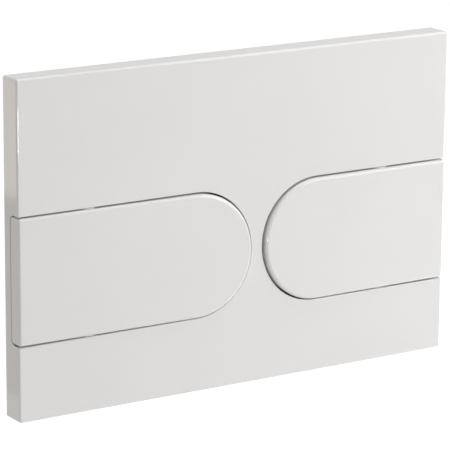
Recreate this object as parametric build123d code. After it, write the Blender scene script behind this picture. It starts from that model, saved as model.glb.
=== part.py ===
from build123d import *
import os
from math import radians, sin

# Dual flush button plate for a concealed cistern, in millimetres.
# X runs to the right and Z up along the wall, and Y runs into the wall.
# The origin is the middle of the plate's back on the wall plane, halfway between the fixing studs.
# A level called "out" is a distance from the wall towards the room, so out = 13 is Y = -13.

# Cover plate
PLATE_WIDTH = 246.0
PLATE_HEIGHT = 165.0
PLATE_DEPTH = 13.0
PLATE_FRONT_WALL = 2.5
PLATE_SIDE_WALL = 2.2
PLATE_CORNER_R = 1.2
PLATE_EDGE_R = 1.0

# The two button openings in the cover plate, with the bridge that is left between their round ends
OPENING_HEIGHT = 63.1
OPENING_CENTRE_Z = -14.12
BRIDGE_WIDTH = 6.2
BRIDGE_CENTRE_X = 9.6
LIP_WALL = 1.6
LIP_DEPTH = 6.0
LIP_EDGE_R = 0.4
NOTCH_DEPTH = 8.0
NOTCH_CORNER_R = 3.0

# Stiffening ribs and support posts behind the cover plate's front wall
RIB_WALL = 1.4
RIB_HEIGHT = 3.4
UPPER_RIB_Z = 49.0
LOWER_RIB_Z = -63.0
RIB_INSET = 71.0
POST_R = 2.6
POST_INSET = 19.0
UPPER_POST_Z = 58.0
LOWER_POST_Z = -70.0

# Buttons, whose fronts rise a little from the plate's side to the round end
BUTTON_GAP = 0.7
BUTTON_END_GAP = 1.1
BUTTON_OUTER_PROUD = 0.6
BUTTON_INNER_PROUD = 2.2
BUTTON_SIDE_INSET = 0.3
BUTTON_NOTCH_GAP = 0.45
BUTTON_WALL = 2.2
BUTTON_SKIRT_WALL = 1.8
BUTTON_EDGE_R = 1.5
BUTTON_OUTER_EDGE_R = 0.9
BUTTON_REAR_EDGE_R = 2.5
BUTTON_RIB_WALL = 1.4
BUTTON_RIB_HEIGHT = 1.9
BUTTON_RIB_OFFSET_Z = 13.0
STRIKER_R = 4.5
STRIKER_DEPTH = 6.2
STOP_POST_R = 3.5
TAB_WIDTH = 14.0
TAB_REACH = 1.5
TAB_WALL = 1.6

# Button pivots: a collar keeps the gap even, and a journal turns in a bearing behind the plate
PIVOT_INSET = 38.75
PIVOT_DEPTH = 5.5
PRESS_ANGLE = 4.5
COLLAR_R = 5.0
COLLAR_CLEARANCE = 0.2
JOURNAL_R = 2.5
JOURNAL_GRIP = 2.6
JOURNAL_CLEARANCE = 0.06
BEARING_WALL = 3.2
BEARING_WIDTH = 12.0
BEARING_TAIL = 2.1
BEARING_MOUTH = 4.3

# Mounting frame
FRAME_WALL = 2.0
FRAME_FIT = 0.5
FRAME_CORNER_R = 2.0
FRAME_RIM_WALL = 1.6
FRAME_RIM_OUT = 5.0
TRAY_WIDTH = 128.0
TRAY_MARGIN = 3.2
TRAY_FLOOR = 2.5
TRAY_WALL = 1.8
TRAY_CORNER_R = 4.0
TRAY_CLEARANCE = 0.9
TRAY_RIB_WALL = 1.6
TRAY_RIB_HEIGHT = 3.5
TRAY_RIB_OFFSET_Z = 12.7
PANE_WIDTH = 62.0
PANE_HEIGHT = 20.0
PANE_CENTRE_X = 46.0
PANE_CENTRE_Z = 56.0
PANE_CORNER_R = 3.0

# Snap tongues of the frame, and the ledges of the cover plate that they hold
TONGUE_INSET = 45.0
TONGUE_WIDTH = 12.0
TONGUE_WALL = 1.8
TONGUE_SLIT = 1.2
TONGUE_CLEARANCE = 0.3
HOOK_REACH = 1.2
HOOK_LENGTH = 2.0
LEDGE_REACH = 1.4
LEDGE_WALL = 1.5
LEDGE_SIDE = 1.0

# Push rods, with their heads, stop nuts and guide bushes
ROD_SPACING = 48.5
ROD_R = 3.5
ROD_CLEARANCE = 0.05
ROD_TAIL = 44.0
ROD_TIP_R = 1.5
THREAD_CLEARANCE = 0.03
RUN_CLEARANCE = 0.3
HEAD_R = 7.0
HEAD_DOME = 0.8
HEAD_DISC = 2.0
HEAD_NECK_R = 5.0
HEAD_NECK_LENGTH = 3.6
HEAD_CROWN = 1.2
STOP_NUT_FLATS = 11.0
STOP_NUT_LENGTH = 4.0
BUSH_R = 8.0
BUSH_FIT = 0.1
BUSH_FLANGE_R = 10.0
BUSH_FLANGE = 1.5
BUSH_CUP_R = 6.8
BUSH_CUP_DEPTH = 8.0
BUSH_FLOOR = 2.0
BUSH_BEAD = 0.5
BUSH_BEAD_LENGTH = 1.4
SLEEVE_R = 5.0
SLEEVE_FRONT_LENGTH = 2.4
SLEEVE_TAIL = 6.5

# Return springs
SPRING_R = 6.1
SPRING_WIRE_R = 0.35
SPRING_TURNS = 5.5
SPRING_SIDES = 8

# Rubber bumpers on the frame's tray
BUMPER_OFFSET = 22.0
BUMPER_R = 4.5
BUMPER_EDGE_R = 1.2
BUMPER_STEM_R = 2.0
BUMPER_STEM_FIT = 0.05
BUMPER_BULB_R = 2.7
BUMPER_BULB = 1.6

# Fixing studs and thumb nuts
STUD_OFFSET = 16.0
STUD_R = 4.0
STUD_LENGTH = 50.0
STUD_NECK_R = 3.0
STUD_NECK_END = 1.0
STUD_CHAMFER = 0.8
SLOT_LENGTH = 12.0
SLOT_CLEARANCE = 0.2
NUT_R = 10.0
NUT_HEIGHT = 5.0
NUT_LOBES = 8
NUT_LOBE_R = 3.0
NUT_CHAMFER = 0.7

# Levels out from the wall that follow from these sizes
PLATE_BACK = PLATE_DEPTH - PLATE_FRONT_WALL
LIP_REAR = PLATE_DEPTH - LIP_DEPTH
NOTCH_REAR = PLATE_DEPTH - NOTCH_DEPTH
OUTER_FACE = PLATE_DEPTH + BUTTON_OUTER_PROUD
INNER_FACE = PLATE_DEPTH + BUTTON_INNER_PROUD
BUTTON_REAR = NOTCH_REAR + BUTTON_NOTCH_GAP
PIVOT_OUT = PLATE_DEPTH - PIVOT_DEPTH
TAB_FRONT = LIP_REAR - RUN_CLEARANCE
TAB_REAR = TAB_FRONT - TAB_WALL
STRIKER_REAR = PLATE_DEPTH - STRIKER_DEPTH

# Places along the wall that follow from them
PIVOT_X = PLATE_WIDTH / 2 - PIVOT_INSET
ROD_X = ROD_SPACING / 2
BUMPER_X = ROD_X + BUMPER_OFFSET
BUMPER_ARM = PIVOT_X - BUMPER_X
STUD_X = TRAY_WIDTH / 2 + STUD_OFFSET
RIB_X = PLATE_WIDTH / 2 - RIB_INSET
POST_X = PLATE_WIDTH / 2 - POST_INSET
TONGUE_X = PLATE_WIDTH / 2 - TONGUE_INSET
OPENING_TOP = OPENING_CENTRE_Z + OPENING_HEIGHT / 2
OPENING_BOTTOM = OPENING_CENTRE_Z - OPENING_HEIGHT / 2
BUTTON_OUTER_X = PLATE_WIDTH / 2 - BUTTON_SIDE_INSET
BUTTON_HEIGHT = OPENING_HEIGHT - 2 * BUTTON_GAP
TRAY_HEIGHT = OPENING_HEIGHT + 2 * TRAY_MARGIN
INSIDE_WIDTH = PLATE_WIDTH - 2 * PLATE_SIDE_WALL
INSIDE_HEIGHT = PLATE_HEIGHT - 2 * PLATE_SIDE_WALL
FRAME_WIDTH = INSIDE_WIDTH - 2 * FRAME_FIT
FRAME_HEIGHT = INSIDE_HEIGHT - 2 * FRAME_FIT

# The longer button's round end dips furthest, so it sets how far back the tray's floor lies
LONG_REACH = PIVOT_X + BRIDGE_CENTRE_X - BRIDGE_WIDTH / 2 + TAB_REACH
TRAY_FRONT = TAB_REAR - LONG_REACH * sin(radians(PRESS_ANGLE)) - TRAY_CLEARANCE
TRAY_REAR = TRAY_FRONT - TRAY_FLOOR

# Levels of the push rods, bushes and bumpers
HEAD_FRONT = STRIKER_REAR - RUN_CLEARANCE
HEAD_REAR = HEAD_FRONT - HEAD_DOME - HEAD_DISC
BUSH_FRONT = TRAY_FRONT + BUSH_FLANGE
SPRING_SEAT = BUSH_FRONT - BUSH_CUP_DEPTH
BUSH_REAR = SPRING_SEAT - BUSH_FLOOR
SLEEVE_REAR = BUSH_REAR - SLEEVE_TAIL
STOP_NUT_FRONT = SLEEVE_REAR - RUN_CLEARANCE
STOP_NUT_REAR = STOP_NUT_FRONT - STOP_NUT_LENGTH
ROD_REAR = STOP_NUT_REAR - ROD_TAIL
ROD_FRONT = HEAD_FRONT - HEAD_DOME - HEAD_CROWN
BUMPER_DIP = (BUMPER_ARM + STOP_POST_R) * sin(radians(PRESS_ANGLE))
BUMPER_FRONT = STRIKER_REAR - BUMPER_DIP - RUN_CLEARANCE
NUT_FRONT = FRAME_WALL + NUT_HEIGHT

LEFT = -1
RIGHT = 1
SIDES = {"left": LEFT, "right": RIGHT}
INTO_ROOM = (0, -1, 0)
OVERCUT = 1.0


def slab(outline, rear, front):
    """Outline drawn on the wall plane, made solid between two levels out from the wall."""
    return extrude(Plane.XZ.offset(rear) * outline, amount=front - rear, dir=INTO_ROOM)


def turned(x, z, section):
    """Round piece about an axis along Y through (x, z), from its half section of (radius, out) points."""
    points = [(radius, -out) for radius, out in section]
    profile = make_face(Polyline(*points, close=True))
    return Pos(x, 0, z) * revolve(profile, Axis.Y)


def band_outline(side, end_x, outer_x, height):
    """Straight band that starts at outer_x and closes with a half circle that reaches end_x."""
    radius = height / 2
    arc_x = end_x + side * radius
    top = OPENING_CENTRE_Z + radius
    bottom = OPENING_CENTRE_Z - radius
    lower = Line((outer_x, bottom), (arc_x, bottom))
    end = ThreePointArc((arc_x, bottom), (end_x, OPENING_CENTRE_Z), (arc_x, top))
    upper = Line((arc_x, top), (outer_x, top))
    outer = Line((outer_x, top), (outer_x, bottom))
    return make_face([lower, end, upper, outer])


def opening_end(side):
    """X of the round end of one button opening."""
    return BRIDGE_CENTRE_X + side * BRIDGE_WIDTH / 2


def opening_outline(side, grow, past):
    """Outline of a button opening, grown all round, and run past the plate's side."""
    outer_x = side * (PLATE_WIDTH / 2 + past)
    return band_outline(side, opening_end(side) - side * grow, outer_x, OPENING_HEIGHT + 2 * grow)


def on_level(out):
    """Test for an edge or face whose middle lies at this level out from the wall."""
    return lambda shape: abs(shape.center().Y + out) < 1e-4


def plate_shell():
    """Shallow box, open at the back, with a rounded front edge."""
    outer = slab(RectangleRounded(PLATE_WIDTH, PLATE_HEIGHT, PLATE_CORNER_R), 0, PLATE_DEPTH)
    front_edges = outer.faces().filter_by(on_level(PLATE_DEPTH)).edges()
    outer = fillet(front_edges, PLATE_EDGE_R)
    inner = Rectangle(INSIDE_WIDTH, INSIDE_HEIGHT)
    return outer - slab(inner, -OVERCUT, PLATE_BACK)


def opening_cutter(side):
    """Button opening with the notch that it leaves in the side wall, whose rear corners are rounded."""
    cutter = slab(opening_outline(side, 0, OVERCUT), NOTCH_REAR, PLATE_DEPTH + OVERCUT)
    rear = cutter.edges().filter_by(on_level(NOTCH_REAR)).filter_by(Axis.X)
    return fillet(rear, NOTCH_CORNER_R)


def opening_lip(side):
    """Wall behind the front that follows the edge of a button opening."""
    grown = slab(opening_outline(side, LIP_WALL, 0), LIP_REAR, PLATE_BACK)
    return grown & slab(Rectangle(INSIDE_WIDTH, INSIDE_HEIGHT), LIP_REAR, PLATE_BACK)


def bearing_blocks(side):
    """Blocks above and below a button opening that the button's journals turn in."""
    blocks = Part()
    for edge, away in ((OPENING_TOP, 1), (OPENING_BOTTOM, -1)):
        middle = edge + away * BEARING_WALL / 2
        foot = PIVOT_OUT - JOURNAL_R - BEARING_TAIL
        block = Pos(side * PIVOT_X, middle) * Rectangle(BEARING_WIDTH, BEARING_WALL)
        blocks += slab(block, foot, PLATE_BACK)
    return blocks


def bearing_bores(side):
    """Round bores along Z, with a narrower mouth to the back where the journals snap in."""
    length = OPENING_HEIGHT + 2 * BEARING_WALL
    bore = Cylinder(JOURNAL_R + JOURNAL_CLEARANCE, length + 2 * OVERCUT)
    bore = Pos(side * PIVOT_X, -PIVOT_OUT, OPENING_CENTRE_Z) * bore
    mouth = Rectangle(BEARING_MOUTH, length + 2 * OVERCUT)
    return bore + slab(Pos(side * PIVOT_X, OPENING_CENTRE_Z) * mouth, 0, PIVOT_OUT)


def plate_ribs():
    """Ribs on the back of the front wall: one along each panel, and short ones across it."""
    rib_rear = PLATE_BACK - RIB_HEIGHT
    ribs = Part()
    for rib_z in (UPPER_RIB_Z, LOWER_RIB_Z):
        ribs += slab(Pos(0, rib_z) * Rectangle(INSIDE_WIDTH, RIB_WALL), rib_rear, PLATE_BACK)
    for low, high in ((OPENING_TOP, INSIDE_HEIGHT / 2), (-INSIDE_HEIGHT / 2, OPENING_BOTTOM)):
        for rib_x in (-RIB_X, RIB_X):
            across = Rectangle(RIB_WALL, high - low)
            ribs += slab(Pos(rib_x, (low + high) / 2) * across, rib_rear, PLATE_BACK)
    return ribs


def plate_posts():
    """Posts that carry the front wall on the mounting frame."""
    posts = Part()
    for post_x in (-POST_X, 0, POST_X):
        for post_z in (UPPER_POST_Z, LOWER_POST_Z):
            posts += slab(Pos(post_x, post_z) * Circle(POST_R), FRAME_WALL, PLATE_BACK)
    return posts


def snap_places():
    """X of each snap tongue, with the side of the plate, up or down, that it faces."""
    return [(tongue_x, up) for tongue_x in (-TONGUE_X, TONGUE_X) for up in (1, -1)]


def plate_ledges():
    """Ledges inside the upper and lower walls that the frame's hooks hold."""
    width = TONGUE_WIDTH + 2 * LEDGE_SIDE
    ledges = Part()
    for ledge_x, up in snap_places():
        middle = up * (INSIDE_HEIGHT - LEDGE_REACH) / 2
        front = FRAME_RIM_OUT + TONGUE_CLEARANCE + LEDGE_WALL
        ledges += slab(Pos(ledge_x, middle) * Rectangle(width, LEDGE_REACH), front - LEDGE_WALL, front)
    return ledges


def cover_plate():
    """White moulded cover with two button openings that run out through its sides."""
    plate = plate_shell() + plate_ribs() + plate_posts() + plate_ledges()
    for side in SIDES.values():
        plate += opening_lip(side) + bearing_blocks(side)
    for side in SIDES.values():
        plate -= opening_cutter(side)
        plate -= bearing_bores(side)
    front = plate.faces().filter_by(on_level(PLATE_DEPTH))
    inside_band = lambda edge: OPENING_BOTTOM - 0.01 < edge.center().Z < OPENING_TOP + 0.01
    return fillet(front.edges().filter_by(inside_band), LIP_EDGE_R)


def button_end(side):
    """X of the button's round end."""
    return opening_end(side) + side * BUTTON_END_GAP


def under_front(side, outline, rear, depth):
    """Outline made solid from a rear level up to the button's sloping front, or to a depth below it."""
    blank = slab(outline, rear, INNER_FACE + OVERCUT)
    outer = Vector(side * BUTTON_OUTER_X, depth - OUTER_FACE, 0)
    inner = Vector(button_end(side), depth - INNER_FACE, 0)
    normal = (outer - inner).cross(Vector(0, 0, side))
    slope = Plane(origin=outer, x_dir=(0, 0, 1), z_dir=normal)
    return split(blank, bisect_by=slope, keep=Keep.BOTTOM)


def rear_corners(side):
    """What the rounding takes off the straight part of the button's two rear edges."""
    inner_x = button_end(side) + side * BUTTON_HEIGHT / 2
    outer_x = side * PLATE_WIDTH / 2
    length = abs(outer_x - inner_x)
    place = Pos((inner_x + outer_x) / 2, OPENING_CENTRE_Z)
    front = BUTTON_REAR + BUTTON_REAR_EDGE_R
    core = slab(place * Rectangle(length, BUTTON_HEIGHT), BUTTON_REAR, front + OVERCUT)
    core = fillet(core.edges().filter_by(on_level(BUTTON_REAR)).filter_by(Axis.X), BUTTON_REAR_EDGE_R)
    around = Rectangle(length, BUTTON_HEIGHT + 2 * OVERCUT)
    return slab(place * around, BUTTON_REAR - OVERCUT, front) - core


def button_shell(side):
    """Hollow button with a rounded front edge and a skirt all round."""
    end_x = button_end(side)
    outer_x = side * BUTTON_OUTER_X
    shell = under_front(side, band_outline(side, end_x, outer_x, BUTTON_HEIGHT), BUTTON_REAR, 0)
    front = shell.faces().sort_by(Axis.Y)[0].edges()
    shell = fillet(front.filter_by(Axis.Z, reverse=True), BUTTON_EDGE_R)
    side_face = shell.faces().filter_by(Axis.X).sort_by(Axis.X)[0 if side == LEFT else -1]
    shell = fillet(side_face.edges().filter_by(Axis.Z).sort_by(Axis.Y)[0], BUTTON_OUTER_EDGE_R)
    wall = BUTTON_SKIRT_WALL
    hollow = band_outline(side, end_x + side * wall, outer_x - side * wall, BUTTON_HEIGHT - 2 * wall)
    shell -= under_front(side, hollow, BUTTON_REAR - OVERCUT, BUTTON_WALL)
    return shell - rear_corners(side)


def button_pivots(side):
    """Ears with a collar that fills most of the gap, and journals that reach into the bearings."""
    edge = OPENING_HEIGHT / 2 - BUTTON_GAP
    collar_top = OPENING_HEIGHT / 2 - COLLAR_CLEARANCE
    journal_top = OPENING_HEIGHT / 2 + JOURNAL_GRIP
    ear_foot = edge - BUTTON_SKIRT_WALL
    pivots = Part()
    for up in (1, -1):
        for radius, low, high in ((COLLAR_R, ear_foot, collar_top), (JOURNAL_R, ear_foot, journal_top)):
            middle = OPENING_CENTRE_Z + up * (low + high) / 2
            pivots += Pos(side * PIVOT_X, -PIVOT_OUT, middle) * Cylinder(radius, high - low)
    return pivots


def button_inside(side):
    """Striker over the push rod, stop post over the bumper, ribs, and the tab that stops the return."""
    end_x = button_end(side)
    rib_inner = end_x + side * (BUTTON_HEIGHT / 2)
    rib_outer = side * (BUTTON_OUTER_X - BUTTON_SKIRT_WALL / 2)
    rib_rear = OUTER_FACE - BUTTON_WALL - BUTTON_RIB_HEIGHT
    half_wall = BUTTON_WALL / 2
    striker = Pos(side * ROD_X, OPENING_CENTRE_Z) * Circle(STRIKER_R)
    stop_post = Pos(side * BUMPER_X, OPENING_CENTRE_Z) * Circle(STOP_POST_R)
    inside = under_front(side, striker, STRIKER_REAR, half_wall)
    inside += under_front(side, stop_post, STRIKER_REAR, half_wall)
    for up in (1, -1):
        rib = Rectangle(abs(rib_outer - rib_inner), BUTTON_RIB_WALL)
        rib = Pos((rib_outer + rib_inner) / 2, OPENING_CENTRE_Z + up * BUTTON_RIB_OFFSET_Z) * rib
        inside += under_front(side, rib, rib_rear, half_wall)
    tab_tip = opening_end(side) - side * TAB_REACH
    tab_root = end_x + side * BUTTON_SKIRT_WALL
    tab = Pos((tab_tip + tab_root) / 2, OPENING_CENTRE_Z) * Rectangle(abs(tab_tip - tab_root), TAB_WIDTH)
    return inside + slab(tab, TAB_REAR, TAB_FRONT)


def button(side):
    """One rocking flush button."""
    return button_shell(side) + button_pivots(side) + button_inside(side)


def frame_panel():
    """Flat panel with a rim round its edge and two panes above the buttons."""
    outline = RectangleRounded(FRAME_WIDTH, FRAME_HEIGHT, FRAME_CORNER_R)
    inside = Rectangle(FRAME_WIDTH - 2 * FRAME_RIM_WALL, FRAME_HEIGHT - 2 * FRAME_RIM_WALL)
    panel = slab(outline, 0, FRAME_WALL) + slab(outline - inside, 0, FRAME_RIM_OUT)
    pane = RectangleRounded(PANE_WIDTH, PANE_HEIGHT, PANE_CORNER_R)
    for side in SIDES.values():
        panel -= slab(Pos(side * PANE_CENTRE_X, PANE_CENTRE_Z) * pane, -OVERCUT, FRAME_WALL + OVERCUT)
    return panel


def tray_outline(grow):
    """Outline of the tray behind the buttons, grown all round."""
    rounded = RectangleRounded(TRAY_WIDTH + 2 * grow, TRAY_HEIGHT + 2 * grow, TRAY_CORNER_R + grow)
    return Pos(0, OPENING_CENTRE_Z) * rounded


def frame_with_tray():
    """Panel with a closed tray sunk into it, so that the buttons can dip, and ribs behind the tray."""
    frame = frame_panel() + slab(tray_outline(TRAY_WALL), TRAY_REAR, FRAME_WALL)
    frame -= slab(tray_outline(0), TRAY_FRONT, FRAME_WALL + OVERCUT)
    for up in (1, -1):
        rib = Pos(0, OPENING_CENTRE_Z + up * TRAY_RIB_OFFSET_Z) * Rectangle(TRAY_WIDTH, TRAY_RIB_WALL)
        frame += slab(rib, TRAY_REAR - TRAY_RIB_HEIGHT, TRAY_REAR)
    return frame


def snap_tongue(up):
    """Upright tongue with an outward hook that has a lead-in slope, drawn in the YZ plane."""
    root = INSIDE_HEIGHT / 2 - LEDGE_REACH - TONGUE_CLEARANCE
    hook_rear = FRAME_RIM_OUT + LEDGE_WALL + 2 * TONGUE_CLEARANCE
    tip = hook_rear + HOOK_LENGTH
    section = [
        (0, root - TONGUE_WALL),
        (-tip, root - TONGUE_WALL),
        (-tip, root),
        (-hook_rear - HOOK_LENGTH / 4, root + HOOK_REACH),
        (-hook_rear, root + HOOK_REACH),
        (-hook_rear, root),
        (0, root),
    ]
    profile = make_face(Polyline(*[(y, up * z) for y, z in section], close=True))
    return extrude(Plane.YZ * profile, amount=TONGUE_WIDTH / 2, both=True)


def mounting_frame():
    """Carrier that is fixed to the cistern: the cover plate snaps on to it and the rods run through it."""
    frame = frame_with_tray()
    for tongue_x, up in snap_places():
        slit = Rectangle(TONGUE_WIDTH + 2 * TONGUE_SLIT, FRAME_RIM_WALL + 2 * OVERCUT)
        slit = Pos(tongue_x, up * (FRAME_HEIGHT - FRAME_RIM_WALL) / 2) * slit
        frame -= slab(slit, FRAME_WALL, FRAME_RIM_OUT + OVERCUT)
        frame += Pos(tongue_x, 0, 0) * snap_tongue(up)
    for side in SIDES.values():
        slot = Pos(side * STUD_X, 0) * SlotOverall(SLOT_LENGTH, 2 * (STUD_NECK_R + SLOT_CLEARANCE))
        frame -= slab(slot, -OVERCUT, FRAME_WALL + OVERCUT)
        bush_hole = Pos(side * ROD_X, OPENING_CENTRE_Z) * Circle(BUSH_R + BUSH_FIT)
        stem_hole = Pos(side * BUMPER_X, OPENING_CENTRE_Z) * Circle(BUMPER_STEM_R + BUMPER_STEM_FIT)
        frame -= slab(bush_hole, TRAY_REAR - OVERCUT, TRAY_FRONT + OVERCUT)
        frame -= slab(stem_hole, TRAY_REAR - OVERCUT, TRAY_FRONT + OVERCUT)
    return frame


def guide_bush(side):
    """Bush that snaps into the tray: a cup for the spring round a sleeve that guides the rod."""
    bore = ROD_R + ROD_CLEARANCE
    bead_front = TRAY_REAR - BUSH_FIT
    bead_rear = bead_front - BUSH_BEAD_LENGTH
    sleeve_front = SPRING_SEAT + SLEEVE_FRONT_LENGTH
    section = [
        (bore, SLEEVE_REAR),
        (SLEEVE_R, SLEEVE_REAR),
        (SLEEVE_R, BUSH_REAR),
        (BUSH_R, BUSH_REAR),
        (BUSH_R, bead_rear),
        (BUSH_R + BUSH_BEAD, (bead_rear + bead_front) / 2),
        (BUSH_R + BUSH_BEAD, bead_front),
        (BUSH_R, bead_front),
        (BUSH_R, TRAY_FRONT),
        (BUSH_FLANGE_R, TRAY_FRONT),
        (BUSH_FLANGE_R, BUSH_FRONT),
        (BUSH_CUP_R, BUSH_FRONT),
        (BUSH_CUP_R, SPRING_SEAT),
        (SLEEVE_R, SPRING_SEAT),
        (SLEEVE_R, sleeve_front),
        (bore, sleeve_front),
    ]
    return turned(side * ROD_X, OPENING_CENTRE_Z, section)


def push_rod(side):
    """Straight rod with a bevelled tip, which presses the flush valve."""
    section = [
        (0, ROD_REAR),
        (ROD_R - ROD_TIP_R, ROD_REAR),
        (ROD_R, ROD_REAR + ROD_TIP_R),
        (ROD_R, ROD_FRONT),
        (0, ROD_FRONT),
    ]
    return turned(side * ROD_X, OPENING_CENTRE_Z, section)


def rod_head(side):
    """Domed cap with a threaded neck that screws on to the rod."""
    neck_rear = HEAD_REAR - HEAD_NECK_LENGTH
    socket = ROD_R + THREAD_CLEARANCE
    disc_front = HEAD_FRONT - HEAD_DOME
    dome_mid = HEAD_FRONT - HEAD_DOME / 4
    dome = ThreePointArc((0, -HEAD_FRONT), (HEAD_R / 2, -dome_mid), (HEAD_R, -disc_front))
    outline = Polyline(
        (HEAD_R, -disc_front),
        (HEAD_R, -HEAD_REAR),
        (HEAD_NECK_R, -HEAD_REAR),
        (HEAD_NECK_R, -neck_rear),
        (socket, -neck_rear),
        (socket, -ROD_FRONT),
        (0, -ROD_FRONT),
        (0, -HEAD_FRONT),
    )
    profile = make_face(dome + outline)
    return Pos(side * ROD_X, 0, OPENING_CENTRE_Z) * revolve(profile, Axis.Y)


def rod_stop_nut(side):
    """Hexagon nut on the rod, behind the bush."""
    hexagon = RegularPolygon(STOP_NUT_FLATS / 2, 6, major_radius=False)
    nut = Pos(side * ROD_X, OPENING_CENTRE_Z) * (hexagon - Circle(ROD_R + THREAD_CLEARANCE))
    return slab(nut, STOP_NUT_REAR, STOP_NUT_FRONT)


def rod_spring(side):
    """Coil spring between the bush's cup and the rod's head."""
    length = HEAD_REAR - SPRING_SEAT - 2 * (SPRING_WIRE_R + RUN_CLEARANCE)
    start = (side * ROD_X, -(SPRING_SEAT + SPRING_WIRE_R + RUN_CLEARANCE), OPENING_CENTRE_Z)
    coil = Helix(length / SPRING_TURNS, length, SPRING_R, center=start, direction=INTO_ROOM)
    wire = Plane(origin=coil @ 0, z_dir=coil % 0) * RegularPolygon(SPRING_WIRE_R, SPRING_SIDES)
    return sweep(wire, path=coil, is_frenet=True)


def bumper(side):
    """Push-in rubber buffer: a soft head on the tray's floor, a stem through it and a bulb behind."""
    bulb_rear = TRAY_REAR - BUMPER_BULB
    section = [
        (0, bulb_rear),
        (BUMPER_STEM_R, bulb_rear),
        (BUMPER_BULB_R, TRAY_REAR),
        (BUMPER_STEM_R, TRAY_REAR),
        (BUMPER_STEM_R, TRAY_FRONT),
        (BUMPER_R, TRAY_FRONT),
        (BUMPER_R, BUMPER_FRONT),
        (0, BUMPER_FRONT),
    ]
    buffer = turned(side * BUMPER_X, OPENING_CENTRE_Z, section)
    return fillet(buffer.edges().filter_by(on_level(BUMPER_FRONT)), BUMPER_EDGE_R)


def fixing_stud(side):
    """Double-ended stud: a thick end that screws into the cistern, and a neck through the frame."""
    neck_front = NUT_FRONT + STUD_NECK_END
    section = [
        (0, -STUD_LENGTH),
        (STUD_R - STUD_CHAMFER, -STUD_LENGTH),
        (STUD_R, STUD_CHAMFER - STUD_LENGTH),
        (STUD_R, 0),
        (STUD_NECK_R, 0),
        (STUD_NECK_R, neck_front - STUD_CHAMFER),
        (STUD_NECK_R - STUD_CHAMFER, neck_front),
        (0, neck_front),
    ]
    return turned(side * STUD_X, 0, section)


def thumb_nut(side):
    """Lobed nut that is tightened by hand against the front of the frame."""
    lobes = PolarLocations(NUT_R + NUT_LOBE_R / 2, NUT_LOBES) * Circle(NUT_LOBE_R)
    outline = Circle(NUT_R) - lobes
    nut = slab(Pos(side * STUD_X, 0) * outline, FRAME_WALL, NUT_FRONT)
    nut = chamfer(nut.edges().filter_by(on_level(NUT_FRONT)), NUT_CHAMFER)
    bore = Pos(side * STUD_X, 0) * Circle(STUD_NECK_R + THREAD_CLEARANCE)
    return nut - slab(bore, FRAME_WALL - OVERCUT, NUT_FRONT + OVERCUT)


nodes = {
    "cover_plate": cover_plate(),
    "full_flush_button": button(LEFT),
    "half_flush_button": button(RIGHT),
    "mounting_frame": mounting_frame(),
}
for word, which in SIDES.items():
    nodes[f"{word}_guide_bush"] = guide_bush(which)
    nodes[f"{word}_push_rod"] = push_rod(which)
    nodes[f"{word}_rod_head"] = rod_head(which)
    nodes[f"{word}_rod_stop_nut"] = rod_stop_nut(which)
    nodes[f"{word}_rod_spring"] = rod_spring(which)
    nodes[f"{word}_bumper"] = bumper(which)
    nodes[f"{word}_fixing_stud"] = fixing_stud(which)
    nodes[f"{word}_thumb_nut"] = thumb_nut(which)

os.makedirs("parts", exist_ok=True)
for name, solid in nodes.items():
    export_step(solid, f"parts/{name}.step")
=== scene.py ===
# %% [markdown]
# A white flush button plate for a concealed cistern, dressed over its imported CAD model.
# The plate is a shallow gloss moulding with two rocking buttons.
# Behind it sit the frame that it snaps on to, and the rods, springs and studs.
# The CAD model gives every shape and place, so this file adds finishes, threads, light and a camera.

# %% Load the CAD model
import math
import bpy
import numpy as np
from mathutils import Matrix, Vector


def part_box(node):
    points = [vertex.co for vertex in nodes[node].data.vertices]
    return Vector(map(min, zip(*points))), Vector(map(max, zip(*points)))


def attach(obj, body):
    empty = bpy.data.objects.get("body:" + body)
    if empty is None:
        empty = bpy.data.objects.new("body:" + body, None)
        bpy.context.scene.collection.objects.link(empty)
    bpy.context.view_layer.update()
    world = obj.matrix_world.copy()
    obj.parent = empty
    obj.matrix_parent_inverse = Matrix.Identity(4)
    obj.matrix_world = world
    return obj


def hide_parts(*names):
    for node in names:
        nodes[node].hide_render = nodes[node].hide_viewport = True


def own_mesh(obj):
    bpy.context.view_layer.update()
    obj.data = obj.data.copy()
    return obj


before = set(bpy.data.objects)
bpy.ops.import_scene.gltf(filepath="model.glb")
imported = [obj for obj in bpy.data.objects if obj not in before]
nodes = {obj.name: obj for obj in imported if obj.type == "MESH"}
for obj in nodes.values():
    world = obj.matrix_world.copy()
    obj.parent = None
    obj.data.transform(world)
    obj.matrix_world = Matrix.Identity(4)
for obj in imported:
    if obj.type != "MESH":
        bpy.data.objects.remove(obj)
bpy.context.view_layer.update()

# %% [markdown]
# The camera stands left of the plate and a little above it, with a long lens, as in a catalogue picture.
# Its angles, distance and focal length were fitted to the plate's outline in the photograph.
# A camera could be aimed by a constraint, but then its roll could not be chosen.
# Here the turn, tilt and roll are made into the camera's own three axes: right, up and back.

# %% Camera
MM = 0.001
VIEW_TURN = math.radians(-32.673)
VIEW_TILT = math.radians(14.143)
VIEW_ROLL = math.radians(0.417)
VIEW_DISTANCE = 1400.4 * MM
PLATE_RIGHT_OF_MIDDLE = 7.64 * MM
PLATE_ABOVE_MIDDLE = 1.77 * MM
FOCAL_PIXELS = 2878.5
PICTURE_PIXELS = 450.0
SENSOR_MM = 36.0

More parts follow.
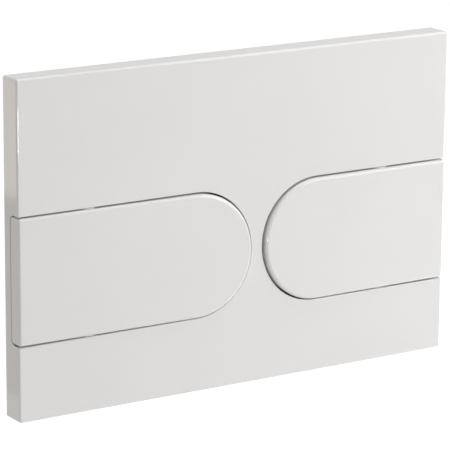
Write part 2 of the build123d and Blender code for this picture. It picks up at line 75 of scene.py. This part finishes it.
scene = bpy.context.scene
plate_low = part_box("cover_plate")[0]
front_middle = Vector((0, plate_low.y, 0))
level_right = Vector((math.cos(VIEW_TURN), math.sin(VIEW_TURN), 0))
back = Vector((
    math.sin(VIEW_TURN) * math.cos(VIEW_TILT),
    -math.cos(VIEW_TURN) * math.cos(VIEW_TILT),
    math.sin(VIEW_TILT),
))
level_up = back.cross(level_right)
right = level_right * math.cos(VIEW_ROLL) + level_up * math.sin(VIEW_ROLL)
up = level_up * math.cos(VIEW_ROLL) - level_right * math.sin(VIEW_ROLL)

camera_data = bpy.data.cameras.new("camera")
camera_data.sensor_width = SENSOR_MM
camera_data.lens = FOCAL_PIXELS / PICTURE_PIXELS * SENSOR_MM
camera = bpy.data.objects.new("camera", camera_data)
scene.collection.objects.link(camera)
place = front_middle + back * VIEW_DISTANCE - right * PLATE_RIGHT_OF_MIDDLE - up * PLATE_ABOVE_MIDDLE
axes = Matrix((right, up, back)).transposed().to_4x4()
camera.matrix_world = Matrix.Translation(place) @ axes
scene.camera = camera
print("camera at", [round(x, 3) for x in place], "lens", round(camera_data.lens, 1), "mm")

# %% [markdown]
# The photograph has a pure white ground with no shadow under the plate.
# A white picture could be laid behind the render, but then the gloss would mirror something else.
# So the world itself shows plain white to the camera and in reflections.
# It lights the plate far less than that, so that the lamps can shape it.

# %% White world
WORLD_LIGHT = 0.265

scene.view_settings.view_transform = "Standard"


def seen_rays(tree):
    """Adds up the Light Path outputs for camera, glossy and transmission rays, held to at most 1."""
    path = tree.nodes.new("ShaderNodeLightPath")
    first = tree.nodes.new("ShaderNodeMath")
    first.operation = "ADD"
    second = tree.nodes.new("ShaderNodeMath")
    second.operation = "ADD"
    second.use_clamp = True
    tree.links.new(path.outputs["Is Camera Ray"], first.inputs[0])
    tree.links.new(path.outputs["Is Glossy Ray"], first.inputs[1])
    tree.links.new(first.outputs[0], second.inputs[0])
    tree.links.new(path.outputs["Is Transmission Ray"], second.inputs[1])
    return second.outputs[0]


world = bpy.data.worlds.new("white_room")
world.use_nodes = True
scene.world = world
sky = world.node_tree
strength = sky.nodes.new("ShaderNodeMapRange")
strength.inputs["To Min"].default_value = WORLD_LIGHT
strength.inputs["To Max"].default_value = 1.0
sky.nodes["Background"].inputs["Color"].default_value = (1, 1, 1, 1)
sky.links.new(seen_rays(sky), strength.inputs["Value"])
sky.links.new(strength.outputs[0], sky.nodes["Background"].inputs["Strength"])
print("world light", WORLD_LIGHT)

# %% [markdown]
# The floor lies some way below the plate, so its shadow falls behind the plate, out of the camera's sight.
# It is mostly white light to the camera and in reflections, with a share of matt grey that takes the shadow.
# Seen from below it is clear, so that the plate can be looked at from there too.

# %% Floor
FLOOR_DROP = 0.16
FLOOR_HALF = 6.0
FLOOR_WHITE_SHARE = 0.9
FLOOR_GLOW = 1.09
PALE_GREY = (0.85, 0.85, 0.85, 1)
CORNERS = np.array([(-1, -1), (1, -1), (1, 1), (-1, 1)], float)


def flat_panel(name, points, paint):
    """Object with one painted face through four points, in their order round it."""
    mesh = bpy.data.meshes.new(name)
    mesh.from_pydata(points.tolist(), [], [(0, 1, 2, 3)])
    mesh.materials.append(paint)
    panel = bpy.data.objects.new(name, mesh)
    scene.collection.objects.link(panel)
    return panel


floor_paint = bpy.data.materials.new("pale_floor")
floor_paint.use_nodes = True
tree = floor_paint.node_tree
tree.nodes.clear()
matte = tree.nodes.new("ShaderNodeBsdfDiffuse")
matte.inputs["Color"].default_value = PALE_GREY
white = tree.nodes.new("ShaderNodeEmission")
white.inputs["Strength"].default_value = FLOOR_GLOW
share = tree.nodes.new("ShaderNodeMath")
share.operation = "MULTIPLY"
share.inputs[1].default_value = FLOOR_WHITE_SHARE
mix = tree.nodes.new("ShaderNodeMixShader")
underside = tree.nodes.new("ShaderNodeNewGeometry")
clear = tree.nodes.new("ShaderNodeBsdfTransparent")
one_sided = tree.nodes.new("ShaderNodeMixShader")
output = tree.nodes.new("ShaderNodeOutputMaterial")
tree.links.new(seen_rays(tree), share.inputs[0])
tree.links.new(share.outputs[0], mix.inputs["Fac"])
tree.links.new(matte.outputs[0], mix.inputs[1])
tree.links.new(white.outputs[0], mix.inputs[2])
tree.links.new(underside.outputs["Backfacing"], one_sided.inputs["Fac"])
tree.links.new(mix.outputs[0], one_sided.inputs[1])
tree.links.new(clear.outputs[0], one_sided.inputs[2])
tree.links.new(one_sided.outputs[0], output.inputs["Surface"])

floor_z = plate_low.z - FLOOR_DROP
floor = flat_panel("floor", np.column_stack([CORNERS * FLOOR_HALF, np.full(4, floor_z)]), floor_paint)
print("floor at z", round(floor_z, 3))

# %% [markdown]
# Soft boxes light the plate as in a studio: a main one in front to the right, and fill light from above
# and from the front. Gloss plastic also mirrors its surroundings.
# So each further lamp is there for one reflection or one bright edge.
# The warm box behind to the left shows in the plate's left side, where its lower edge makes a clear line.
# A weak lamp further left warms that side a little more, as the photograph shows it.
# The box far to the right lights the round end of the left button.
# Two strips near the floor and a panel on it show in reflections only.
# The strip in front draws the bright line down the front's left edge.
# The strip behind lifts the foot of the left side.
# The panel lies on the right and carries the bright rim of the button's end further down.

# %% Soft boxes
NEUTRAL = (1.0, 1.0, 1.0)
WARM = (1.0, 0.94, 0.8)
AMBER = (1.0, 0.6, 0.2)


def soft_box(name, where, aim, size, radiance, colour=NEUTRAL, gloss_only=False):
    """Rectangular area lamp of a given width and height, placed at a point and turned to face another point.

    A flat lamp that gives off the same light in all directions has power = pi x area x radiance.
    One that is for gloss only shows in reflections, and leaves matt surfaces as they are.
    """
    width, height = size
    data = bpy.data.lights.new(name, "AREA")
    data.shape = "RECTANGLE"
    data.size = width
    data.size_y = height
    data.energy = math.pi * width * height * radiance
    data.color = colour
    lamp = bpy.data.objects.new(name, data)
    scene.collection.objects.link(lamp)
    direction = Vector(aim) - Vector(where)
    turn = direction.to_track_quat("-Z", "Y").to_matrix().to_4x4()
    lamp.matrix_world = Matrix.Translation(where) @ turn
    lamp.visible_diffuse = not gloss_only
    print(name, "power", round(data.energy, 2), "W")


# Each line gives a lamp's place, the point that it faces, its width and height in metres, and its radiance.
soft_box("right_box", (0.75, -0.75, 0.25), (0, 0, 0), (0.6, 0.6), 4.3)
soft_box("top_box", (0.05, -0.05, 1.3), (0, 0, 0), (0.9, 0.9), 3.75)
soft_box("front_box", (0.0, -2.0, 0.6), (0, 0, 0), (1.2, 1.0), 1.72)
soft_box("left_box", (-0.6, 0.75, -0.017), (0.0, 0.75, -0.017), (0.4, 0.4), 1.22, colour=WARM)
soft_box("left_fill", (-1.2, 0.45, 0.0), (-0.123, 0, 0), (0.4, 0.4), 0.72, colour=AMBER)
soft_box("rim_box", (2.0, 0.1, 0.15), (0.0, 0.1, 0.15), (0.6, 0.6), 10.0)
soft_box("edge_strip", (-0.286, -1.173, -0.2), (-0.123, -0.012, -0.2), (0.4, 0.045), 30.0, gloss_only=True)
soft_box("foot_strip", (-0.279, 0.246, -0.1985), (0.0, 0.246, -0.1985), (0.2, 0.05), 0.45, gloss_only=True)
soft_box("rim_panel", (0.78, 0.28, -0.235), (0.78, 0.28, 1.0), (1.1, 1.1), 1.6, gloss_only=True)

# %% [markdown]
# The plate's top is seen at a low angle, so it mirrors whatever stands behind the plate.
# A pure white ground there would make the top brighter than the edge below it.
# In the photograph the edge is the brighter of the two.
# Photographers hold a grey card in such a place, above the camera's view, and one does the same here.
# It is hidden from the camera itself, so that it never stands behind the plate in other views.

# %% Grey card
CARD_PLACE = Vector((0.73, 1.15, 0.42))
CARD_WIDTH = 0.9
CARD_HEIGHT = 0.5
CARD_ROUGHNESS = 0.9

card_paint = bpy.data.materials.new("grey_card")
card_paint.use_nodes = True
card_shader = card_paint.node_tree.nodes["Principled BSDF"]
card_shader.inputs["Base Color"].default_value = PALE_GREY
card_shader.inputs["Roughness"].default_value = CARD_ROUGHNESS
card_axes = np.array(CARD_PLACE.to_track_quat("Z", "Y").to_matrix())
flat_corners = CORNERS[::-1] * (CARD_WIDTH / 2, CARD_HEIGHT / 2)
card = flat_panel("grey_card", np.array(CARD_PLACE) + flat_corners @ card_axes[:, :2].T, card_paint)
card.visible_camera = False
print("grey card", CARD_WIDTH, "by", CARD_HEIGHT, "m")

# %% [markdown]
# Every finish starts the same way: a shader, and noise that reads the piece's own coordinates in metres.
# Noise could also be painted as an image.
# A pattern worked out from coordinates has no seams and no fixed resolution, so that is used here.
# The helpers give one noise pattern, a number or a colour that follows it, and a bump made from it.

# %% Helpers for finishes
NOISE_LOW = 0.3
NOISE_HIGH = 0.7


def new_material(name):
    """Material with a Principled shader, and its node tree and shader."""
    material = bpy.data.materials.new(name)
    material.use_nodes = True
    return material, material.node_tree, material.node_tree.nodes["Principled BSDF"]


def noise(tree, grain_mm, detail=2.0, stretch=(1, 1, 1), coordinates="Object"):
    """Noise with grains about this many millimetres wide; a stretch below 1 draws it out along an axis."""
    source = tree.nodes.new("ShaderNodeTexCoord")
    mapping = tree.nodes.new("ShaderNodeMapping")
    mapping.inputs["Scale"].default_value = stretch
    pattern = tree.nodes.new("ShaderNodeTexNoise")
    pattern.inputs["Scale"].default_value = 1.0 / (grain_mm * MM)
    pattern.inputs["Detail"].default_value = detail
    tree.links.new(source.outputs[coordinates], mapping.inputs["Vector"])
    tree.links.new(mapping.outputs["Vector"], pattern.inputs["Vector"])
    return pattern.outputs["Fac"]


def between(tree, value, low, high):
    """Number that runs from low to high while the noise runs over its usual values."""
    node = tree.nodes.new("ShaderNodeMapRange")
    node.inputs["From Min"].default_value = NOISE_LOW
    node.inputs["From Max"].default_value = NOISE_HIGH
    node.inputs["To Min"].default_value = low
    node.inputs["To Max"].default_value = high
    tree.links.new(value, node.inputs["Value"])
    return node.outputs["Result"]


def two_tones(tree, value, first, second):
    """Colour that runs from the first to the second while the noise runs over its usual values."""
    ramp = tree.nodes.new("ShaderNodeValToRGB")
    start, end = ramp.color_ramp.elements
    start.position = NOISE_LOW
    start.color = (*first, 1)
    end.position = NOISE_HIGH
    end.color = (*second, 1)
    tree.links.new(value, ramp.inputs["Fac"])
    return ramp.outputs["Color"]


def bump(tree, value, height_mm, below=None):
    """Bump of this height in millimetres, laid over another bump if there is one."""
    node = tree.nodes.new("ShaderNodeBump")
    node.inputs["Strength"].default_value = 1.0
    node.inputs["Distance"].default_value = height_mm * MM
    tree.links.new(value, node.inputs["Height"])
    if below is not None:
        tree.links.new(below, node.inputs["Normal"])
    return node.outputs["Normal"]


def dress(material, *names):
    """Gives a finish to CAD nodes, in place of the plain one that they were loaded with."""
    for name in names:
        nodes[name].data.materials.clear()
        nodes[name].data.materials.append(material)
    print(material.name, "on", ", ".join(names))


print("finishes follow noise from", NOISE_LOW, "to", NOISE_HIGH)

# %% [markdown]
# The plate and its buttons are moulded in one white gloss plastic, a little warm against the white ground.
# A real moulding is never a perfect mirror: it keeps a faint waviness from the tool and uneven gloss.
# Waves that low can't be seen one by one, but they soften reflections, so bumps make them and no mesh does.
# Broad noise in the roughness makes the gloss uneven.

# %% White gloss plastic
WHITE = (0.8, 0.79, 0.78)
WHITE_SHADE = (0.785, 0.775, 0.764)

white_gloss, tree, shader = new_material("white_gloss_plastic")
clouds = noise(tree, grain_mm=45.0)
waviness = noise(tree, grain_mm=4.0, detail=1.0)
grain = noise(tree, grain_mm=0.5)
tree.links.new(two_tones(tree, clouds, WHITE, WHITE_SHADE), shader.inputs["Base Color"])
tree.links.new(between(tree, clouds, low=0.025, high=0.05), shader.inputs["Roughness"])
waves = bump(tree, waviness, height_mm=0.004)
tree.links.new(bump(tree, grain, height_mm=0.0006, below=waves), shader.inputs["Normal"])
dress(white_gloss, "cover_plate", "full_flush_button", "half_flush_button")

# %% [markdown]
# The frame behind the plate is a technical moulding that nobody sees once it is fitted, so it is dark grey.
# Its tool was roughened by spark erosion, which leaves a fine, even, matt grain.
# Such grain is a few hundredths of a millimetre deep, too fine to model, so noise gives it as a bump.

# %% Dark frame plastic
FRAME_GREY = (0.088, 0.09, 0.094)
FRAME_GREY_WORN = (0.115, 0.117, 0.12)

frame_plastic, tree, shader = new_material("dark_frame_plastic")
patches = noise(tree, grain_mm=30.0, detail=4.0)
sparks = noise(tree, grain_mm=0.45, detail=3.0)
tree.links.new(two_tones(tree, patches, FRAME_GREY, FRAME_GREY_WORN), shader.inputs["Base Color"])
tree.links.new(between(tree, sparks, low=0.5, high=0.72), shader.inputs["Roughness"])
tree.links.new(bump(tree, sparks, height_mm=0.03), shader.inputs["Normal"])
dress(frame_plastic, "mounting_frame")

# %% [markdown]
# Bushes, rod heads, stop nuts and thumb nuts are small mid-grey mouldings of a harder plastic.
# They have a satin skin, with faint flow lines where the plastic ran into the mould.
# All of them lie along Y, so one noise that is drawn out along Y gives each its own lines.

# %% Grey satin plastic
SATIN_GREY = (0.3, 0.315, 0.335)
SATIN_GREY_PALE = (0.35, 0.365, 0.385)
SIDES = ("left", "right")
GREY_PIECES = ("guide_bush", "rod_head", "rod_stop_nut", "thumb_nut")

grey_plastic, tree, shader = new_material("grey_satin_plastic")
flow = noise(tree, grain_mm=5.0, detail=3.0, stretch=(1, 0.3, 1))
skin = noise(tree, grain_mm=0.35)
tree.links.new(two_tones(tree, flow, SATIN_GREY, SATIN_GREY_PALE), shader.inputs["Base Color"])
tree.links.new(between(tree, flow, low=0.32, high=0.46), shader.inputs["Roughness"])
tree.links.new(bump(tree, skin, height_mm=0.008), shader.inputs["Normal"])
for side in SIDES:
    dress(grey_plastic, *(f"{side}_{piece}" for piece in GREY_PIECES))

# %% [markdown]
# The bumpers are black rubber: matt, with a fine grain and a greyish bloom in patches.
# One even black would look like a hole, so the bloom lifts colour and roughness together.

# %% Black rubber
RUBBER = (0.045, 0.045, 0.046)
RUBBER_BLOOM = (0.085, 0.085, 0.083)

black_rubber, tree, shader = new_material("black_rubber")
bloom = noise(tree, grain_mm=2.5, detail=4.0)
pores = noise(tree, grain_mm=0.25)
tree.links.new(two_tones(tree, bloom, RUBBER, RUBBER_BLOOM), shader.inputs["Base Color"])
tree.links.new(between(tree, bloom, low=0.68, high=0.88), shader.inputs["Roughness"])
tree.links.new(bump(tree, pores, height_mm=0.02), shader.inputs["Normal"])
dress(black_rubber, "left_bumper", "right_bumper")

# %% [markdown]
# Studs and push rods are screws, and the CAD model has them as plain shafts.
# A thread could be a helix swept along the shaft, but then its ends would have to be joined on by hand.
# Here a shaft is one surface over two parameters, the place along its axis and the angle round it.
# Its radius dips in a groove that moves along by one pitch per turn and fades out at each end of the thread.

# %% Thread profile and shaft surface
ROUND_STEPS = 56
STEPS_PER_PITCH = 10
FLAT_SHARE = 0.15


def groove(turns):
    """Thread profile: a triangle wave over each turn, cut off flat at 0 on the crest and 1 at the root."""
    triangle = np.abs((turns % 1.0) * 2.0 - 1.0)
    return np.clip((triangle - FLAT_SHARE) / (1.0 - 2.0 * FLAT_SHARE), 0.0, 1.0)


def shaft_rows(y_start, y_end, r_start, r_end, depth=0.0, pitch=1.0, run_out=1.0):
    """Place and radius of one stretch of shaft, as arrays of rows along Y by steps round it.

    Radius = straight line from r_start to r_end, less depth x groove(y / pitch - angle / full turn) x fade,
    where fade rises from 0 to 1 over the run-out at both ends. All lengths are in millimetres.
    """
    steps = 2 if depth == 0 else int((y_end - y_start) / pitch * STEPS_PER_PITCH) + 1
    along = np.linspace(0.0, 1.0, steps)[:, None]
    angle_turns = np.arange(ROUND_STEPS)[None, :] / ROUND_STEPS
    y = y_start + (y_end - y_start) * along
    fade = np.clip(np.minimum(y - y_start, y_end - y) / run_out, 0.0, 1.0)
    radius = r_start + (r_end - r_start) * along - depth * groove(y / pitch - angle_turns) * fade
    return np.broadcast_to(y, radius.shape), radius


print("threads have", STEPS_PER_PITCH, "rows per pitch and", ROUND_STEPS, "steps round")

# %% [markdown]
# A grid of points becomes a surface when each of its squares is a face and its last column joins the first.
# Each end could be one large polygon, but a fan of triangles from a middle point shades more evenly.
# Edges sharper than a given angle stay sharp, and the rest of the surface is shaded smooth.

# %% Meshes from grids of points
SHAFT_SHARP_DEGREES = 50


def ring_faces(rows, steps):
    """Quads between neighbouring rows of points, joined round.

    Fans of triangles from two poles close the ends. The poles are the two points after the last row.
    """
    row = np.arange(rows - 1)[:, None] * steps
    next_row = row + steps
    here = np.arange(steps)[None, :]
    after = (here + 1) % steps
    quads = np.stack([row + here, next_row + here, next_row + after, row + after], axis=-1).reshape(-1, 4)
    first_pole = rows * steps
    last = (rows - 1) * steps
    start = np.stack([np.full(steps, first_pole), here[0], after[0]], axis=-1)
    end = np.stack([np.full(steps, first_pole + 1), last + after[0], last + here[0]], axis=-1)
    return quads.tolist() + start.tolist() + end.tolist()


def piece_from(name, points, faces, sharp_degrees):
    """Mesh object at the origin, smooth except along edges sharper than an angle."""
    mesh = bpy.data.meshes.new(name)
    mesh.from_pydata(points.tolist(), [], faces)
    mesh.polygons.foreach_set("use_smooth", np.ones(len(mesh.polygons), bool))
    mesh.set_sharp_from_angle(angle=math.radians(sharp_degrees))
    mesh.update()
    piece = bpy.data.objects.new(name, mesh)
    scene.collection.objects.link(piece)
    return piece


def shaft(name, x, z, stretches):
    """Round shaft along Y at (x, z), in metres, made of stretches that follow each other.

    A stretch holds the arguments of shaft_rows, in millimetres, which gives its y and radius.
    Point = (x + radius x cos angle, y, z + radius x sin angle).
    """
    parts = [shaft_rows(*stretch) for stretch in stretches]
    y = np.concatenate([part[0] for part in parts]) * MM
    radius = np.concatenate([part[1] for part in parts]) * MM
    angle = np.arange(ROUND_STEPS) / ROUND_STEPS * 2 * math.pi
    points = np.stack([x + radius * np.cos(angle), y, z + radius * np.sin(angle)], axis=-1).reshape(-1, 3)
    poles = np.array([[x, y[0, 0], z], [x, y[-1, 0], z]])
    faces = ring_faces(*radius.shape)
    piece = piece_from(name, np.concatenate([points, poles]), faces, SHAFT_SHARP_DEGREES)
    print(name, len(piece.data.polygons), "faces")
    return piece


def axis_of(name):
    """X and Z of the axis of a round CAD node, and its ends along Y in millimetres."""
    low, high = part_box(name)
    return (low.x + high.x) / 2, (low.z + high.z) / 2, low.y / MM, high.y / MM


print("edges over", SHAFT_SHARP_DEGREES, "degrees stay sharp on shafts")

# %% [markdown]
# The studs are zinc plated steel: cool grey, slightly cloudy and not quite as bright as bare steel.
# Grey paint would show its own colour from every side.
# Zinc mirrors its surroundings instead, so the shader is a metal.
# Two sizes of noise make its clouds and the fine frosting of the plating.

# %% Zinc plated steel
ZINC = (0.63, 0.64, 0.66)
ZINC_PALE = (0.72, 0.72, 0.71)

zinc_steel, tree, shader = new_material("zinc_plated_steel")
spangle = noise(tree, grain_mm=3.0, detail=4.0)
frosting = noise(tree, grain_mm=0.2)
shader.inputs["Metallic"].default_value = 1.0
tree.links.new(two_tones(tree, spangle, ZINC, ZINC_PALE), shader.inputs["Base Color"])
tree.links.new(between(tree, spangle, low=0.28, high=0.46), shader.inputs["Roughness"])
tree.links.new(bump(tree, frosting, height_mm=0.004), shader.inputs["Normal"])
print(zinc_steel.name, "made")

# %% [markdown]
# Each fixing stud has two threads: the thick one screws into the cistern, and the neck takes the thumb nut.
# A stud could be two cylinders pushed into each other, but one surface has no hidden faces inside.
# So its stretches follow each other: bevel, neck thread, plain neck, shoulder, thick thread and bevel.

# %% Fixing studs
STUD_R = 4.0
STUD_PITCH = 1.25
STUD_GROOVE = 0.65
STUD_RUN_OUT = 1.2
STUD_BEVEL = 0.8
SHOULDER_PLAIN = 1.5
NECK_R = 3.0
NECK_PITCH = 1.0
NECK_GROOVE = 0.5
NECK_RUN_OUT = 0.8
NECK_PLAIN = 0.6

for side in SIDES:
    x, z, front, rear = axis_of(f"{side}_fixing_stud")
    stud = shaft(f"{side}_threaded_stud", x, z, [
        (front, front + STUD_BEVEL, NECK_R - STUD_BEVEL, NECK_R),
        (front + STUD_BEVEL, -NECK_PLAIN, NECK_R, NECK_R, NECK_GROOVE, NECK_PITCH, NECK_RUN_OUT),
        (-NECK_PLAIN, 0.0, NECK_R, NECK_R),
        (0.0, SHOULDER_PLAIN, STUD_R, STUD_R),
        (SHOULDER_PLAIN, rear - STUD_BEVEL, STUD_R, STUD_R, STUD_GROOVE, STUD_PITCH, STUD_RUN_OUT),
        (rear - STUD_BEVEL, rear, STUD_R, STUD_R - STUD_BEVEL),
    ])
    stud.data.materials.append(zinc_steel)
    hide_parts(f"{side}_fixing_stud")
    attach(stud, "plate")

# %% [markdown]
# The push rods are moulded in a natural off-white plastic that slides well.
# Light goes a little way into such plastic, so the shader has a small share of subsurface scattering.
# The tint is drawn out along the rod, as the plastic flowed into the mould.

# %% Natural rod plastic
ROD_WHITE = (0.78, 0.775, 0.735)
ROD_WHITE_WARM = (0.8, 0.79, 0.74)
SUBSURFACE_SHARE = 0.15
SUBSURFACE_RADIUS = (0.002, 0.0018, 0.0015)

rod_plastic, tree, shader = new_material("natural_rod_plastic")
tint = noise(tree, grain_mm=9.0, detail=3.0, stretch=(1, 0.25, 1))
slip = noise(tree, grain_mm=0.4)
tree.links.new(two_tones(tree, tint, ROD_WHITE, ROD_WHITE_WARM), shader.inputs["Base Color"])
tree.links.new(between(tree, tint, low=0.3, high=0.42), shader.inputs["Roughness"])
tree.links.new(bump(tree, slip, height_mm=0.005), shader.inputs["Normal"])
shader.inputs["Subsurface Weight"].default_value = SUBSURFACE_SHARE
shader.inputs["Subsurface Radius"].default_value = SUBSURFACE_RADIUS
print(rod_plastic.name, "made")

# %% [markdown]
# The rod is smooth where it runs in the bush, and behind that a coarse thread lets the stop nut be set.
# The rod is made by the same function as the studs, with other stretches.
# Where the thread starts is read from the bush, so that the two always agree.

# %% Push rods
ROD_R = 3.5
ROD_BEVEL = 1.5
ROD_PITCH = 1.75
ROD_GROOVE = 0.45
ROD_RUN_OUT = 1.0
ROD_TIP_PLAIN = 6.0
SLEEVE_COVER = 0.4

for side in SIDES:
    x, z, front, rear = axis_of(f"{side}_push_rod")
    sleeve_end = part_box(f"{side}_guide_bush")[1].y / MM
    thread_start = sleeve_end - SLEEVE_COVER
    thread_end = rear - ROD_TIP_PLAIN
    rod = shaft(f"{side}_threaded_rod", x, z, [
        (front, thread_start, ROD_R, ROD_R),
        (thread_start, thread_end, ROD_R, ROD_R, ROD_GROOVE, ROD_PITCH, ROD_RUN_OUT),
        (thread_end, rear - ROD_BEVEL, ROD_R, ROD_R),
        (rear - ROD_BEVEL, rear, ROD_R, ROD_R - ROD_BEVEL),
    ])
    rod.data.materials.append(rod_plastic)
    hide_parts(f"{side}_push_rod")
    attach(rod, f"{side}_rod")

# %% [markdown]
# Spring wire is drawn through a die, which leaves fine lines along it.
# Lines in Object coordinates would cut across the coil.
# So the noise reads a UV map that runs along the wire.

# %% Drawn spring steel
STEEL = (0.56, 0.565, 0.57)
STEEL_PALE = (0.67, 0.67, 0.67)

spring_steel, tree, shader = new_material("drawn_spring_steel")
drawn = noise(tree, grain_mm=0.12, detail=3.0, stretch=(0.2, 1, 1), coordinates="UV")
cloud = noise(tree, grain_mm=4.0)
shader.inputs["Metallic"].default_value = 1.0
tree.links.new(two_tones(tree, cloud, STEEL, STEEL_PALE), shader.inputs["Base Color"])
tree.links.new(between(tree, drawn, low=0.18, high=0.34), shader.inputs["Roughness"])
tree.links.new(bump(tree, drawn, height_mm=0.003), shader.inputs["Normal"])
print(spring_steel.name, "made")

# %% [markdown]
# A compression spring has its end turns wound close together, so that it stands flat on its seat.
# The CAD spring has one even pitch, and a Screw modifier would give no more than that.
# Here the pitch is a function of the turn, small at both ends and wide in the middle.
# The wire is a circle carried along that path, turned with the coil so that it never twists.

# %% Return springs
COIL_R = 6.1
WIRE_R = 0.35
COIL_TURNS = 7.0
CLOSED_TURNS = 0.8
OPENING_TURNS = 0.5
STEPS_PER_TURN = 64
WIRE_STEPS = 14
WIRE_SHARP_DEGREES = 60


def coil_path(x, z, y_front, y_rear):
    """Centre line of a coil along Y, in millimetres, with its outward directions and its turns.

    The line goes round the axis at the coil radius, at the angle 2 pi x turns. Its y is the running sum of a
    pitch that is one wire thick over the closed turns and opens smoothly to whatever fills the length.
    """
    turns = np.linspace(0.0, COIL_TURNS, int(COIL_TURNS * STEPS_PER_TURN) + 1)
    from_end = np.minimum(turns, COIL_TURNS - turns)
    opening = np.clip((from_end - CLOSED_TURNS) / OPENING_TURNS, 0.0, 1.0)
    opening = opening * opening * (3.0 - 2.0 * opening)
    tight = turns * 2 * WIRE_R
    spread = np.concatenate([[0.0], np.cumsum((opening[1:] + opening[:-1]) / 2)])
    free_length = (y_rear - y_front) - 2 * WIRE_R
    angle = turns * 2 * math.pi
    outward = np.stack([np.cos(angle), np.zeros_like(angle), np.sin(angle)], axis=-1)
    path = np.array([x / MM, 0.0, z / MM]) + COIL_R * outward
    path[:, 1] = y_front + WIRE_R + tight + spread / spread[-1] * (free_length - tight[-1])
    return path, outward, turns


def map_along_wire(mesh, turns):
    """UV map in metres: u is the length along the wire, v the length round it."""
    along = np.repeat(turns * 2 * math.pi * COIL_R * MM, WIRE_STEPS)
    around = np.tile(np.arange(WIRE_STEPS) / WIRE_STEPS * 2 * math.pi * WIRE_R * MM, len(turns))
    flat = np.column_stack([along, around])
    flat = np.concatenate([flat, [[0.0, 0.0], [along[-1], 0.0]]])
    corner_points = np.zeros(len(mesh.loops), int)
    mesh.loops.foreach_get("vertex_index", corner_points)
    layer = mesh.uv_layers.new(name="wire")
    layer.data.foreach_set("uv", flat[corner_points].ravel())


def coil_spring(name, x, z, y_front, y_rear):
    """Coil spring with closed ends, as a circle carried along the coil's centre line.

    Surface = centre line + wire radius x (cos phi x outward + sin phi x third axis of the path).
    """
    path, outward, turns = coil_path(x, z, y_front, y_rear)
    tangent = np.gradient(path, axis=0)
    tangent /= np.linalg.norm(tangent, axis=1, keepdims=True)
    third = np.cross(outward, tangent)
    phi = (np.arange(WIRE_STEPS) / WIRE_STEPS * 2 * math.pi)[None, :, None]
    points = path[:, None] + WIRE_R * (np.cos(phi) * outward[:, None] + np.sin(phi) * third[:, None])
    points = np.concatenate([points.reshape(-1, 3), path[:1], path[-1:]]) * MM
    piece = piece_from(name, points, ring_faces(len(turns), WIRE_STEPS), WIRE_SHARP_DEGREES)
    map_along_wire(piece.data, turns)
    print(name, len(piece.data.polygons), "faces, length", round(y_rear - y_front, 2), "mm")
    return piece


for side in SIDES:
    x, z, front, rear = axis_of(f"{side}_rod_spring")
    spring = coil_spring(f"{side}_coil_spring", x, z, front, rear)
    spring.data.materials.append(spring_steel)
    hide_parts(f"{side}_rod_spring")
    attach(spring, "plate")
    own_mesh(spring)
